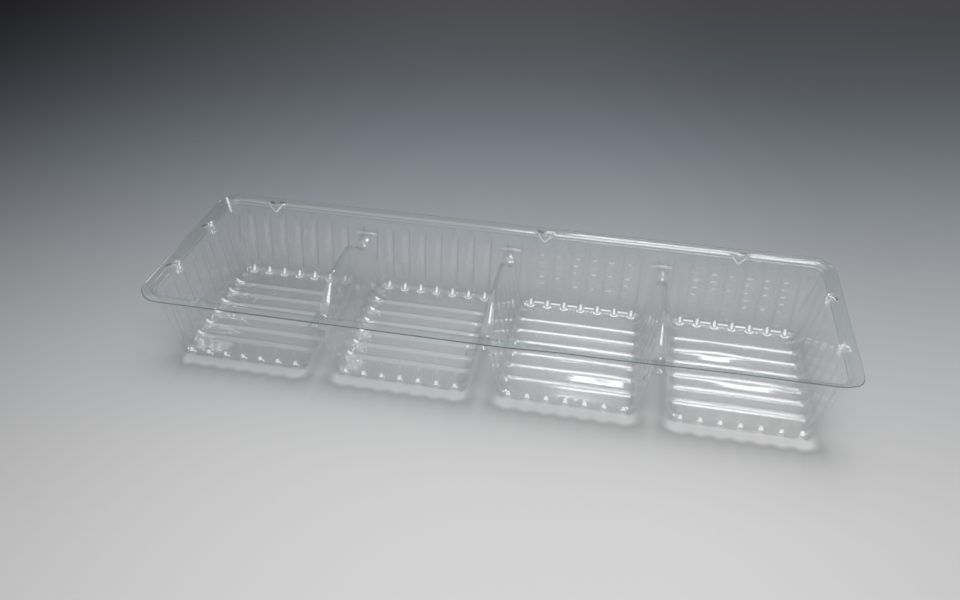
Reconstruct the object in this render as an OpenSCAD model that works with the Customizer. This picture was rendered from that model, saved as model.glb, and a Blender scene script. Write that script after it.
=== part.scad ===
// Blister tray with a row of deep ribbed cells, vacuum formed in one piece from clear sheet.
// The origin is at the middle of the tray on the plane that it stands on, with the cells along X.
// Every surface is worked out twice from the same rules: once for the upper skin and once, a
// sheet thickness further out, for the underside. The rim closes the two.

/* [Tray] */
// Number of cells in the row
cells = 4; // [1:1:6]
// Distance from the middle of one cell to the next
cell_pitch = 62; // [56:0.5:90]
// Width of a cell's floor across the tray, measured where the wall planes meet it
floor_wid = 62; // [56:0.5:90]
// Depth from the flange's upper face to a cell's floor
depth = 31.75; // [22:0.25:50]
// Thickness of the sheet
sheet = 0.35; // [0.2:0.05:0.6]

/* [Walls] */
// Lean of the outer walls away from the vertical, in degrees
wall_draft = 8; // [4:0.5:14]
// Lean of the divider walls away from the vertical, in degrees
divider_draft = 9.5; // [4:0.5:14]
// Radius of a cell's corners at the floor, seen from above
corner_r = 2.3; // [1.9:0.1:4]
// Radius of the rounding between the floor and the walls
foot_r = 2; // [1:0.1:2.6]

/* [Dividers] */
// Width of a divider along its top
ridge_w = 1.7; // [1:0.1:4]
// Length of the level top in the middle of a divider
ridge_len = 16; // [6:1:30]
// How far the ridge lies below the flange
ridge_drop = 0.35; // [0.3:0.05:3]
// How far the low part of a divider's top lies below the flange
saddle_drop = 9.75; // [4:0.25:12]
// Distance from the tray's middle line to the lowest place of a divider's top
saddle_y = 24.5; // [18:0.5:26]
// How far the platform beside the wall lies below the flange
platform_drop = 8.75; // [4:0.25:12]

/* [Ribs] */
// Spacing of the upright ribs on the long walls
long_rib_pitch = 7; // [4.5:0.25:12]
// Spacing of the ribs that run across the floor and up the short walls
side_rib_pitch = 7.45; // [4.5:0.05:12]
// Width of a rib at its foot
rib_w = 3; // [2.4:0.1:3.6]
// Width of a rib's crest
rib_crest_w = 1.2; // [0.8:0.1:1.6]
// How far a wall rib stands out at the floor
rib_depth = 1.1; // [0.5:0.1:1.4]
// How far a wall rib stands out at its top
rib_top_depth = 0.8; // [0.4:0.1:1.2]
// How far below the wall's top a rib starts to run out
rib_stop = 3; // [2:0.25:5]
// Height of the ribs on the floor
floor_rib_h = 0.9; // [0.4:0.1:1.4]

/* [Flange] */
// Width of the flange
flange_w = 4; // [2:0.25:12]
// Radius of the flange's outer corners
flange_r = 9; // [6:0.5:14]
// Radius of the opening's corners at the flange
opening_r = 4; // [2:0.25:6]
// Width of the ledge below the flange
ledge_w = 0.6; // [0.3:0.1:3]
// How far the ledge lies below the flange
ledge_drop = 1.75; // [1:0.25:3]

/* [Stacking lugs] */
// Width of a lug at the flange
lug_w = 7; // [4:0.5:9]
// How far a lug stands out from the wall at the flange
lug_reach = 2; // [1:0.25:3]
// How far a lug's point lies below the flange
lug_drop = 3.75; // [3:0.25:4.5]
// Place of the lug in the first cell, from the cell's middle
lug_first = -9.4; // [-12:0.1:12]
// Place of the lug in the last but one cell, from the cell's middle
lug_middle = -17.5; // [-17.5:0.1:12]
// Place of the lug in the last cell, from the cell's middle
lug_last = -2.2; // [-12:0.1:12]
// Place of the two lugs on each end wall, either side of the middle line
lug_end = 14.9; // [8:0.1:18]

/* [Hidden] */

// Heights are measured from the upper face of a cell's floor
ledge_z = depth - ledge_drop;
ridge_z = depth - ridge_drop;
saddle_z = depth - saddle_drop;
platform_z = depth - platform_drop;
wall_lean = tan(wall_draft);
divider_lean = tan(divider_draft);

// Half spans of a cell's floor, and of the whole row of cells
half_len = (cell_pitch - ridge_w) / 2 - ridge_z * divider_lean;
half_wid = floor_wid / 2;
row_half = (cells - 1) * cell_pitch / 2 + half_len;

// Corner steps, the places round a rib's section and the steps up the foot's rounding
corner_steps = 3;
flange_steps = 6;
foot_steps = 2;
// Distance from a rib's foot to the plain strip of the floor, past where its flanks would meet
foot_margin = rib_crest_w * rib_depth / (rib_w - rib_crest_w) + 0.25;
// Half width of a lug's point and the share of its width, at the flange, the ledge and the wall
lug_point = [0.7, 0.6, 0.5];
lug_narrowing = [1, 0.72, 0.5];

long_ribs = 1 + floor((2 * half_len - 2 * corner_r - rib_w) / long_rib_pitch);
side_ribs = 1 + floor((floor_wid - 2 * corner_r - rib_w) / side_rib_pitch);

// Sides are numbered round a cell: 0 at +X, 1 at +Y, 2 at -X, 3 at -Y
outward = [[1, 0], [0, 1], [-1, 0], [0, -1]];
along = [[0, 1], [-1, 0], [0, -1], [1, 0]];

function centre_x(k) = (k - (cells - 1) / 2) * cell_pitch;
function is_divider(k, side) = (side == 0 && k < cells - 1) || (side == 2 && k > 0);
function lean(k, side) = is_divider(k, side) ? divider_lean : wall_lean;
function draft(k, side) = is_divider(k, side) ? divider_draft : wall_draft;
function span(side) = side % 2 == 0 ? half_len : half_wid;
function next_side(side) = (side + 1) % 4;
function reach(side) = span(next_side(side));
function row_of(count, pitch) = [for (i = [0:count - 1]) (i - (count - 1) / 2) * pitch];
function rib_places(side) =
    side % 2 == 0 ? row_of(side_ribs, side_rib_pitch) : row_of(long_ribs, long_rib_pitch);

// Height of a divider's top at the distance y from the middle line: level, then a smooth fall
// to the saddle, then a gentle rise to the platform
function divider_z(y) =
    let (a = abs(y), half = ridge_len / 2, platform_y = half_wid + platform_z * wall_lean)
    a <= half ? ridge_z
    : a <= saddle_y ? saddle_z + (ridge_z - saddle_z) * (1 + cos(180 * (a - half) / (saddle_y - half))) / 2
    : saddle_z + (platform_z - saddle_z) * min(1, (a - saddle_y) / (platform_y - saddle_y) * 1.6);

// Height of the top edge of a cell's wall
function top_z(k, side, s) = is_divider(k, side) ? divider_z(s) : ledge_z;
function corner_top_z(k, side) =
    is_divider(k, side) || is_divider(k, next_side(side)) ? platform_z : ledge_z;
function corner_growth(k, side) =
    is_divider(k, side) || is_divider(k, next_side(side)) ? 0.03 : wall_lean * 0.6;

// A station is [key, side, place, rib, lift, bend]: key orders it round the loop, bend is the
// angle in a corner or undef, rib is 1 on a rib's crest and lift is 1 where the rib crosses the floor
function key_of(side, s, half) = side * 10 + 4 * s / half;
function corner_key(side, bend) = side * 10 + 4.2 + 1.6 * bend / 90;

// The section of a rib is mitred, so that the sheet keeps its thickness on the rib's flanks
function rib_section(off) =
    let (flank = atan(rib_depth / ((rib_w - rib_crest_w) / 2)), mitre = off * tan(flank / 2))
    [[-rib_w / 2 + mitre, 0], [-rib_crest_w / 2 + mitre, 1],
        [rib_crest_w / 2 - mitre, 1], [rib_w / 2 - mitre, 0]];

function crosses_floor(side, place) = side % 2 == 0 && abs(place) < (side_ribs - 1.5) / 2 * side_rib_pitch;

function corner_stations(side, early = 0) = [for (i = [0:corner_steps])
    let (bend = 90 * i / corner_steps) [corner_key(side, bend) - early, side, 0, 0, 0, bend]];

function wall_stations(off) = [
    for (side = [0:3]) each concat(
        [for (m = rib_places(side)) for (p = rib_section(off)) let (s = m + p[0])
            [key_of(side, s, reach(side)), side, s, p[1], crosses_floor(side, m) ? p[1] : 0, undef]],
        corner_stations(side, 0.07))];

// Point of a station on cell k, where the two sides have moved out by grow[0] and grow[1]
function loop_point(k, st, grow, r, inward, z) =
    let (side = st[1], after = next_side(side), c = [centre_x(k), 0])
    let (p = st[5] == undef
        ? c + outward[side] * (span(side) + grow[0] - inward) + along[side] * st[2]
        : c + outward[side] * (span(side) + grow[0] - r + r * cos(st[5]))
            + outward[after] * (span(after) + grow[1] - r + r * sin(st[5])))
    [p[0], p[1], z + sheet, st[0]];

// Loop on the rounding at the foot of the walls, for a share of its bend
function foot_loop(k, off, share) = [for (st = wall_stations(off))
    let (d0 = draft(k, st[1]), d1 = draft(k, next_side(st[1])))
    let (run0 = foot_r * tan(45 - d0 / 2), run1 = foot_r * tan(45 - d1 / 2), r = foot_r + off)
    let (grow = [r * sin(share * (90 - d0)) - run0, r * sin(share * (90 - d1)) - run1])
    let (z = foot_r - r * cos(share * (90 - d0)) + floor_rib_h * st[4])
    loop_point(k, st, grow, corner_r + (grow[0] + grow[1]) / 2, rib_depth * st[3], z)];

// How far a wall plane has moved out at height z, with the sheet's thickness
function wall_out(k, side, z, off) = off / cos(draft(k, side)) + z * lean(k, side);

// Loop at the height where the ribs start to run out
function rib_end_loop(k, off) = [for (st = wall_stations(off))
    let (after = next_side(st[1]), in_corner = st[5] != undef)
    let (z = (in_corner ? corner_top_z(k, st[1]) : top_z(k, st[1], st[2])) - rib_stop)
    let (grow = [wall_out(k, st[1], z, off), wall_out(k, after, z, off)])
    loop_point(k, st, grow, corner_r + off + z * corner_growth(k, st[1]), rib_top_depth * st[3], z)];

// Places of the lugs along each side of the whole tray, measured along that side
lug_cells = cells < 3 ? [[0, lug_first]] : [[0, lug_first], [cells - 2, lug_middle], [cells - 1, lug_last]];
function tray_lugs(side) =
    side % 2 == 0 ? [-lug_end, lug_end]
    : [for (l = lug_cells) (centre_x(l[0]) + l[1]) * along[side][0]];
function cell_lugs(k, side) =
    side % 2 == 0 ? (is_divider(k, side) ? [] : tray_lugs(side))
    : [for (l = lug_cells) if (l[0] == k) l[1] * along[side][0]];

// A lug's section at one of its three levels: the sides draw in towards the point
function lug_section(level) =
    let (w = lug_w / 2 * lug_narrowing[level], point = lug_point[level])
    [[-w, 0], [-point, 1], [point, 1], [w, 0]];

function sorted(list) = len(list) < 2 ? list
    : let (p = list[0][0], rest = [for (i = [1:len(list) - 1]) list[i]])
    concat(sorted([for (v = rest) if (v[0] < p) v]), [list[0]], sorted([for (v = rest) if (v[0] >= p) v]));

// Top edge of a cell: one station for each rib, for each bay of a divider, and for each lug.
// A rib's station comes between the rib's foot and its crest, so that the bays stay plane
rib_lead = (rib_w + rib_crest_w) / 4;
lug_clear = lug_w / 2 * max(lug_narrowing[1], lug_narrowing[2] + 2 * rib_lead / lug_w) + 0.1;
function top_places(k, side) = is_divider(k, side)
    ? row_of(2 * side_ribs - 1, side_rib_pitch / 2)
    : [for (m = rib_places(side))
        if (min(concat([lug_clear + 1], [for (l = cell_lugs(k, side)) abs(m - l)])) > lug_clear) m];

// The last point of a lug comes after the next point of the ribs, so that the wall's strip
// passes below the lug
function beyond(side, s, off) = min(concat([1.02 * reach(side)],
    [for (m = rib_places(side)) for (p = rib_section(off)) if (m + p[0] > s) m + p[0]]));
function top_stations(k, off) = [for (side = [0:3]) each concat(
    sorted(concat(
        [for (m = top_places(k, side)) [key_of(side, m - rib_lead, reach(side)), side, m, 0, 0, undef]],
        [for (m = cell_lugs(k, side)) let (section = lug_section(2)) for (i = [0:3])
            let (s = m + section[i][0], order = i < 3 ? s : max(s, beyond(side, m, off)))
            [key_of(side, order, reach(side)), side, s, 0, section[i][1], undef]])),
    corner_stations(side))];

// The wall above a platform starts beside the corner's bend, on the wall plane
function wall_end_x(k, side, off) =
    let (z = platform_z - off, r = corner_r + off + z * corner_growth(k, side))
    half_len + wall_out(k, side, z, off) - r;

function top_loop(k, off) = [for (st = top_stations(k, off))
    let (side = st[1], after = next_side(side), bent = st[5] != undef)
    let (edge_z = (bent ? corner_top_z(k, side) : top_z(k, side, st[2])) - off)
    let (z = edge_z - (lug_drop - ledge_drop) * st[4])
    let (grow = [wall_out(k, side, z, off), wall_out(k, after, z, off)])
    let (p = loop_point(k, st, grow, corner_r + off + z * corner_growth(k, side), 0, z))
    let (level = ledge_z - off, y = half_wid + wall_out(k, 1, level, off))
    let (x = wall_end_x(k, side % 2 == 0 ? side : after, off))
    let (upper = [p[0], (p[1] > 0 ? 1 : -1) * y, level + sheet])
    each bent && corner_top_z(k, side) == platform_z && side % 2 == 0 && st[5] == 90
        ? [p, [upper[0], upper[1], upper[2], st[0] + 0.09]]
        : bent && corner_top_z(k, side) == platform_z && side % 2 == 1 && st[5] == 0
        ? [[upper[0], upper[1], upper[2], st[0] - 0.09], p]
        : [p]];

// Loops round the whole tray: the ledge's outer edge, the flange's inner edge and its rim
function tray_span(side) = side % 2 == 0 ? row_half : half_wid;
function tray_key(side, s) = key_of(side, s, tray_span(next_side(side)));
function ring_stations(level, steps) = [for (side = [0:3]) each concat(
    sorted([for (m = tray_lugs(side)) for (p = lug_section(level))
        [tray_key(side, m + p[0]), side, m + p[0], p[1], undef]]),
    [for (i = [0:steps]) let (bend = 90 * i / steps) [corner_key(side, bend), side, 0, 0, bend]])];
function ring_loop(level, steps, grow, r, reach, z) = [for (st = ring_stations(level, steps))
    let (side = st[1], after = next_side(side))
    let (p = st[4] == undef
        ? outward[side] * (tray_span(side) + grow - reach * st[3]) + along[side] * st[2]
        : outward[side] * (tray_span(side) + grow - r + r * cos(st[4]))
            + outward[after] * (tray_span(after) + grow - r + r * sin(st[4])))
    [p[0], p[1], z + sheet, st[0]]];

ledge_in = ledge_z * wall_lean;
function ledge_loop(off) = let (grow = ledge_in + ledge_w + off, z = ledge_z - off)
    ring_loop(1, corner_steps, grow, opening_r + off, lug_reach * 0.75, z);
function opening_loop(off) = let (grow = ledge_in + ledge_w + ledge_drop * wall_lean + off, z = depth - off)
    ring_loop(0, corner_steps, grow, opening_r + off, lug_reach, z);
function rim_loop(off) =
    let (grow = ledge_in + ledge_w + ledge_drop * wall_lean + flange_w, z = depth - off)
    ring_loop(0, flange_steps, grow, flange_r, 0, z);

// Strips of triangles. Stitching walks along two chains and steps ahead on the one whose next
// key comes first, so the chains may differ in their number of points
function closed(loop) = concat(loop, [[loop[0][0], loop[0][1], loop[0][2], loop[0][3] + 40]]);
function stitch(a, b, i = 0, j = 0, done = []) =
    i == len(a) - 1 && j == len(b) - 1 ? done
    : j == len(b) - 1 || (i < len(a) - 1 && a[i + 1][3] <= b[j + 1][3])
    ? stitch(a, b, i + 1, j, concat(done, [[a[i], a[i + 1], b[j]]]))
    : stitch(a, b, i, j + 1, concat(done, [[a[i], b[j + 1], b[j]]]));
function ladder(a, b) =
    [for (i = [0:len(a) - 2]) each [[a[i], a[i + 1], b[i]], [a[i + 1], b[i + 1], b[i]]]];
function same(p, q) = p[0] == q[0] && p[1] == q[1] && p[2] == q[2];
function is_flat(t) = same(t[0], t[1]) || same(t[1], t[2]) || same(t[2], t[0]);
function reversed(list) = [for (i = [len(list) - 1:-1:0]) list[i]];
function slice(list, from, to) = [for (i = [from:to]) list[i]];

// Floor of a cell: a ladder of rungs carries the ribs across, and at each end a plain strip
// fills the floor up to the feet of the ribs on the long wall
side_count = 4 * side_ribs;
long_count = 4 * long_ribs;
corner_count = corner_steps + 1;
function floor_skin(k, off, foot) =
    let (right = slice(foot, 4, side_count - 5))
    let (start2 = side_count + long_count + 2 * corner_count)
    let (left = reversed(slice(foot, start2 + 4, start2 + side_count - 5)))
    concat(ladder(left, right), floor_end(k, foot, 0, off), floor_end(k, foot, start2, off));

// The strip at one long wall. The chain runs round the foot loop from one side wall to the other,
// and the inner row has a point beside each rib's foot, low enough to see both of its flanks
function floor_end(k, foot, first, off) =
    let (turn = first == 0 ? 1 : -1, base = first == 0 ? 0 : 20, count = len(foot), z = sheet - off)
    let (last = first + side_count + long_count + 2 * corner_count + 4)
    let (chain = [for (i = [first + side_count - 5:last]) let (p = foot[i % count])
        [p[0], p[1], p[2], i < count ? p[3] : p[3] + 40]])
    let (end_rib = (side_ribs - 1) / 2 * side_rib_pitch, bay_y = end_rib - side_rib_pitch / 2)
    let (side_x = abs(chain[0][0] - centre_x(k)) - rib_depth - foot_margin)
    let (long_y = half_wid - foot_r * tan(45 - wall_draft / 2) - rib_depth - foot_margin)
    let (places = rib_places(1), n = len(places) - 1)
    let (bay = [for (s = [1, -1]) [centre_x(k) + s * turn * side_x, turn * bay_y, z,
        base + 10 - s * (10 - key_of(0, bay_y, reach(0)))]])
    let (row = [for (i = [0:n]) [centre_x(k) - turn * places[i], turn * long_y, z,
        base + (i == 0 ? key_of(0, end_rib, reach(0)) : key_of(1, places[i], reach(1)))]])
    let (bay_end = [bay[1][0], bay[1][1], bay[1][2], base + 20 - key_of(0, end_rib, reach(0))])
    let (inner = concat([chain[0], bay[0]], row, [bay_end, chain[len(chain) - 1]]))
    concat([for (t = stitch(inner, chain)) if (!is_flat(t)) t],
        [for (i = [2:len(inner) - 1]) [inner[1], inner[(i + 1) % len(inner)], inner[i]]]);

// Roof of the divider between cell k and the next one, with the wall above its two platforms
function roof_skin(k, tops) =
    let (right = [for (p = tops[k]) if (p[3] >= -5 && (p[3] <= 5.9 || p[3] >= 34.1)) p])
    let (east = sorted([for (p = right) let (key = p[3] > 20 ? p[3] - 40 : p[3]) [key, p]]))
    let (west = sorted([for (p = tops[k + 1]) if (p[3] >= 14.1 && p[3] <= 25.9) [20 - p[3], p]]))
    ladder([for (v = east) v[1]], [for (v = west) v[1]]);

// Outer chain of the cells' top edges, in order round the tray, with the whole tray's keys
function wall_part(loop, side, k) = [for (p = loop)
    if (abs(p[3] - side * 10) < 4.15)
    [p[0], p[1], p[2], tray_key(side, p[0] * along[side][0] + p[1] * along[side][1])]];
function corner_part(loop, side) =
    [for (p = loop) if (p[3] > side * 10 + 4.19 && p[3] < side * 10 + 5.81) p];
function outer_chain(tops) = concat(
    wall_part(tops[cells - 1], 0, cells - 1), corner_part(tops[cells - 1], 0),
    [for (k = [cells - 1:-1:0]) each wall_part(tops[k], 1, k)], corner_part(tops[0], 1),
    wall_part(tops[0], 2, 0), corner_part(tops[0], 2),
    [for (k = [0:cells - 1]) each wall_part(tops[k], 3, k)], corner_part(tops[cells - 1], 3));

// One skin of the tray, off = 0 for the upper face and off = sheet for the underside
function skin(off) =
    let (tops = [for (k = [0:cells - 1]) top_loop(k, off)])
    let (ledge = ledge_loop(off), opening = opening_loop(off))
    concat(
        [for (k = [0:cells - 1]) each
            let (feet = [for (i = [0:foot_steps]) foot_loop(k, off, i / foot_steps)])
            let (ends = rib_end_loop(k, off))
            concat(
                floor_skin(k, off, feet[0]),
                [for (i = [0:foot_steps - 1]) each ladder(closed(feet[i]), closed(feet[i + 1]))],
                ladder(closed(feet[foot_steps]), closed(ends)),
                stitch(closed(ends), closed(tops[k])))],
        cells < 2 ? [] : [for (k = [0:cells - 2]) each roof_skin(k, tops)],
        stitch(closed(outer_chain(tops)), closed(ledge)),
        stitch(closed(ledge), closed(opening)),
        stitch(closed(opening), closed(rim_loop(off))));

module tray() {
    upper = skin(0);
    under = [for (t = skin(sheet)) [t[0], t[2], t[1]]];
    rim = ladder(closed(rim_loop(0)), closed(rim_loop(sheet)));
    shell = concat(upper, under, rim);
    color([0.84, 0.9, 0.89, 0.5])
        polyhedron(
            points = [for (t = shell) for (p = t) [p[0], p[1], p[2]]],
            faces = [for (i = [0:len(shell) - 1]) [3 * i, 3 * i + 1, 3 * i + 2]],
            convexity = 12);
}

tray();
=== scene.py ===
import math
from types import SimpleNamespace

import bpy
import numpy as np
from mathutils import Matrix, Vector
from mathutils.geometry import delaunay_2d_cdt


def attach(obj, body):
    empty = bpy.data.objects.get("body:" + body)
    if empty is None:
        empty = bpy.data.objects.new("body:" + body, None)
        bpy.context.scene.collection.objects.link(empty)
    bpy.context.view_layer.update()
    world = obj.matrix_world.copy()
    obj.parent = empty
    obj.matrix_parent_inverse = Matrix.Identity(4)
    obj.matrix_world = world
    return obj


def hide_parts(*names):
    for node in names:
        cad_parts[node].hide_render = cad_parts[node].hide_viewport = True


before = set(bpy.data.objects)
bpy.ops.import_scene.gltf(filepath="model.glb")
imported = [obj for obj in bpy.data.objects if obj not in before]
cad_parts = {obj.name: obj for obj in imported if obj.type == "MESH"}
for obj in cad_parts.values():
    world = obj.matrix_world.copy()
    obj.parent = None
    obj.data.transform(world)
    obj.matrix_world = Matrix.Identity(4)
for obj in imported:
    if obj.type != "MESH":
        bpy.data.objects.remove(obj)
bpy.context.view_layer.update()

# The tray's sizes in millimetres. Heights count from the upper face of a cell's floor.
CELLS, PITCH, SHEET = 4, 62.0, 0.35
DEPTH, LEDGE_Z, RIDGE_Z, SADDLE_Z, PLATFORM_Z = 31.75, 30.0, 31.4, 22.0, 23.0
WALL_DRAFT, DIVIDER_DRAFT = math.radians(8), math.radians(9.5)
WALL_LEAN, DIVIDER_LEAN = math.tan(WALL_DRAFT), math.tan(DIVIDER_DRAFT)
RIDGE_WIDTH = 1.7
# Half spans of a cell's floor out to each of its four sides: +X, +Y, -X, -Y.
HALF = np.array([(PITCH - RIDGE_WIDTH) / 2 - RIDGE_Z * DIVIDER_LEAN, 31.0] * 2)
CORNER_R, FOOT_R, TOP_R, SHELF_R = 2.3, 2.0, 0.5, 0.9
# Growth of a corner's radius per millimetre of height, between two outer walls and beside a divider.
OUTER_GROWTH, DIVIDER_GROWTH = 0.6 * WALL_LEAN, 0.03
# A divider's top: half of its level ridge, the length of the fall to the saddle, that of the rise after it,
# and its crown as a share of its width.
RIDGE_HALF, FALL, RISE, CROWN = 8.0, 16.5, 6.0, 0.14

# Ribs: half width, depth at the foot and at the top, height on the floor, then the radii of the section's
# crest and foot and the lean of its flanks. LONG is for the two long walls, SIDE for ends and dividers.
RIB_HALF, RIB_DEPTH, RIB_TOP_DEPTH, FLOOR_RIB = 1.62, 1.1, 0.8, 0.9
CREST_R, RIB_FOOT_R, FLANK = 0.9, 0.6, math.radians(50.2)
LONG_RIBS, LONG_PITCH = 7, 7.0
SIDE_RIBS, SIDE_PITCH = 8, 7.45
# Their depth falls from the height RIB_START up to RIB_STOP below the top, and from there they fade out.
RIB_START, RIB_STOP, RUN_OUT = 1.7, 3.0, 2.5
# On side walls the depth loses the share SIDE_LOSS over the height SIDE_RUN from SIDE_START up.
SIDE_LOSS, SIDE_START, SIDE_RUN = 0.55, 1.5, 5.0
# Side ribs within CROSS_REACH of the middle cross the floor, and its rungs go out to RUNG_REACH.
CROSS_REACH, RUNG_REACH = 20.0, 22.4

# The mouth: ledge, step and flange across, the corner radii of all three, and the flange's raised rim.
LEDGE_WIDTH, STEP_RUN, FLANGE_WIDTH = 0.6, 0.246, 3.78
LEDGE_R, FLANGE_R = 4.5, 8.8
LIP, LIP_RUN = 0.2, 0.5
# Radii of the rounds below and at the ledge's edge, and the profile over the flange's inner edge, as
# millimetres out and down.
WALL_TOP_R, LEDGE_EDGE_R = 0.25, 0.4
FLANGE_CUT = ((0.0, 1.05), (0.03, 0.86), (0.13, 0.70), (0.73, 0.17), (0.85, 0.06), (1.02, 0.0))
# Stacking lugs: on the long sides by cell, from its middle along X; on the ends, from the middle along Y.
LUGS = {0: -9.4, 2: -17.5, 3: -2.2}
END_LUG = 14.9
# Half widths of a lug at the flange, the ledge and the wall, and how far each of them is pressed in.
LUG_HALF, LUG_PUSH = (3.5, 2.7, 2.0), (2.0, 1.5, 2.0)
# A lug's outline over its half width: where its sides would meet the edge, and its peak's rounding.
LUG_END, LUG_ROUND = 1.12, 0.16
FAR = 99.0  # beyond the reach of any lug

# Set of the real sheet: spots of the floors that rise, as x, y, height and spread along X and Y; how far
# the front flange hangs on the left and is drawn in on the right.
DOMES = ((97.5, -4.0, 0.54, 9.0, 3.0), (86.4, 11.0, 0.74, 6.0, 3.2), (43.5, -11.3, 0.46, 8.0, 3.0))
FLOOR_RISE, HANG, DRAWN_IN = 0.3, 0.85, 1.3
# Half spans over which a floor rises.
RISE_X, RISE_Y = 24.5, 29.0

# How finely the mesh is cut: places across half a rib, shares of the way across a floor and a divider,
# steps of the foot's rounding, of a corner and of the bays (below a lug too), and the wall's steps, where
# 0 to 1 is the ribbed part, 1 to 2 the part where the ribs fade and 2 to 3 the rounded edge. The band's
# steps are shares of its wall, and the rim's are shares of LIP_RUN and LIP.
RIB_CUTS = np.array([0, 0.42, 0.69, 1.16, 1.4, RIB_HALF])
RUNGS = np.array([0, 0.03, 0.09, 0.17, 0.27, 0.38, 0.5, 0.62, 0.73, 0.83, 0.91, 0.97, 1.0])
ACROSS = np.array([0, 0.1, 0.3, 0.5, 0.7, 0.9, 1.0])
FOOT_STEPS, CORNER_STEPS, BAY_STEPS, LUG_STEPS = 4, 6, 3, 7
WALL_STEPS = (0.2, 1.0, 1.5, 2, 2.35, 2.7, 3)
BAND_STEPS = (0, 0.3, 0.58, 0.74, 0.9)
RIM_STEPS = ((1.0, 0.0), (0.6, 0.16), (0.25, 0.56), (0.0, 1.0))
# Inner points of a floor's plain end: places along X, rows along Y and the shift of the middle row.
END_X, END_Y, END_SHIFT = np.linspace(-21, 21, 13), np.array([24.0, 25.6, 27.2]), 1.6
# Grid lines per millimetre when points are welded, and the grid's offset from round sizes.
WELD, WELD_OFFSET = 1e4, 0.3137

# Shading. Share mirrored at a right angle, and strengths of the painted highlights and of the painted shade's
# lines.
MIRRORED = 0.05
HIGHLIGHTS = dict(arc_left=0.4, arc_right=0.6, spot=0.9, bar=0.85, dash_low=0.05, dash_high=0.24, band=0.07,
             rib_end=0.6, dot=0.9, speckle=0.9, notch=0.5, crease=0.5)
PAINTED_SHADE = dict(back_left=0.07, back_right=0.03, end=0.05, flange_left=0.05, flange_right=0.01)
# Millimetres from a cell's middle, and heights, over which the painted highlights at the wall ribs' feet fade
# out.
HIGHLIGHT_REACH, HIGHLIGHT_TOP = (22.2, 23.2), (2.0, 3.4)
# Noise scales per metre for the painted highlights: a grain of about 4 mm and speckles of about 0.7 mm.
GRAIN, SPECKLES = 260.0, 1400.0
# The shade on the card: its half size round a cell's middle and corner radius, its shift along Y, the
# length over which it fades and its depth in front and behind.
FOOT_X, FOOT_Y, FOOT_ROUND, FOOT_SHIFT = 22.9, 30.3, 3.0, 2.3
SHADE_FADE, SHADE_FRONT, SHADE_BACK = 6.5, 0.38, 0.18
SCALLOP = 0.4
# The card and its painted light falloff: the view's turn against Y, its level, the share left on the right,
# the length over which it fades to the left; its pale colour in front and dark one behind, where it starts to
# fall from one to the other, how far red, green and blue reach, and the fall's power. Then the room's light,
# front to back.
VIEW_TURN = math.radians(10.3)
CARD_LEVEL, CARD_RIGHT, CARD_LEFT_FADE = 0.925, 0.83, 315.0
CARD_PALE, CARD_DARK = "d3d1d0", "4d4b4b"
CARD_START, CARD_REACH, CARD_POWER = -120.0, (228.0, 245.0, 262.0), 1.8
ROOM_LEVELS = ((0.0, 0.3), (0.15, 0.6), (0.27, 1.0), (0.5, 1.2), (0.66, 0.9), (0.76, 0.25), (0.86, 0.12),
               (1.0, 0.1))
ROOM_TONE = (0.985, 1.0, 1.015)
GROUND = 3000.0
# The camera, solved from the photo: place in metres, turns in radians, sensor and lens in millimetres.
CAMERA_AT, YAW, TILT, ROLL = (0.04098, -0.2627, 0.21156), -0.1791, -0.9499, -0.0183
SENSOR, LENS = 36, 31.95

OUT = np.array([[1, 0], [0, 1], [-1, 0], [0, -1]], float)
ALONG = np.array([[0, 1], [-1, 0], [0, -1], [1, 0]], float)


def centre(k):
    """Middle of cell k along X."""
    return (k - (CELLS - 1) / 2) * PITCH


def beside_divider(k, side):
    """Whether that side of cell k is a divider and not an outer wall."""
    return (side == 0 and k < CELLS - 1) or (side == 2 and k > 0)


def smooth(t):
    """Smoothstep of t, held between 0 and 1."""
    t = np.clip(t, 0, 1)
    return t * t * (3 - 2 * t)


def rib_shape(t):
    """Height share of a rib's section at the distance t from its middle: a round crest, flanks that
    lean by 50 degrees and a smaller round at the foot."""
    t = np.abs(t)
    crest_end = CREST_R * math.sin(FLANK)
    foot_start = RIB_HALF - RIB_FOOT_R * math.sin(FLANK)
    crest = RIB_DEPTH - CREST_R + np.sqrt(np.maximum(CREST_R**2 - t**2, 0))
    flank = RIB_DEPTH - CREST_R * (1 - math.cos(FLANK)) - (t - crest_end) * math.tan(FLANK)
    foot = RIB_FOOT_R - np.sqrt(np.maximum(RIB_FOOT_R**2 - (RIB_HALF - t) ** 2, 0))
    height = np.where(t < crest_end, crest, np.where(t < foot_start, flank, foot))
    return np.where(t < RIB_HALF, height / RIB_DEPTH, 0)


def wall_share(side, z):
    """Share of a rib's depth at a height: on divider and end walls it falls to under half above the foot."""
    return np.where(side % 2 == 0, 1 - SIDE_LOSS * smooth((z - SIDE_START) / SIDE_RUN), 1.0)


def rib_depth(side, z, stop):
    """Depth of a wall's ribs at the height z: it falls evenly up to the height stop and from there it
    fades out by a smoothstep."""
    depth = RIB_DEPTH + (RIB_TOP_DEPTH - RIB_DEPTH) * np.clip((z - RIB_START) / (stop - RIB_START), 0, 1)
    return depth * (1 - smooth((z - stop) / RUN_OUT)) * wall_share(side, z)


def rib_places(side):
    """Middles of the ribs along one side of a cell, from the side's own middle."""
    count, pitch = (SIDE_RIBS, SIDE_PITCH) if side % 2 == 0 else (LONG_RIBS, LONG_PITCH)
    return (np.arange(count) - (count - 1) / 2) * pitch


def divider_z(y):
    """Height of a divider's top: a level ridge, a cosine fall to the saddle, a rise to the platform."""
    a = np.abs(y)
    turn = np.pi * np.clip((a - RIDGE_HALF) / FALL, 0, 1)
    fall = SADDLE_Z + (RIDGE_Z - SADDLE_Z) * (1 + np.cos(turn)) / 2
    return fall + smooth((a - RIDGE_HALF - FALL) / RISE) * (PLATFORM_Z - SADDLE_Z)


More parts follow.
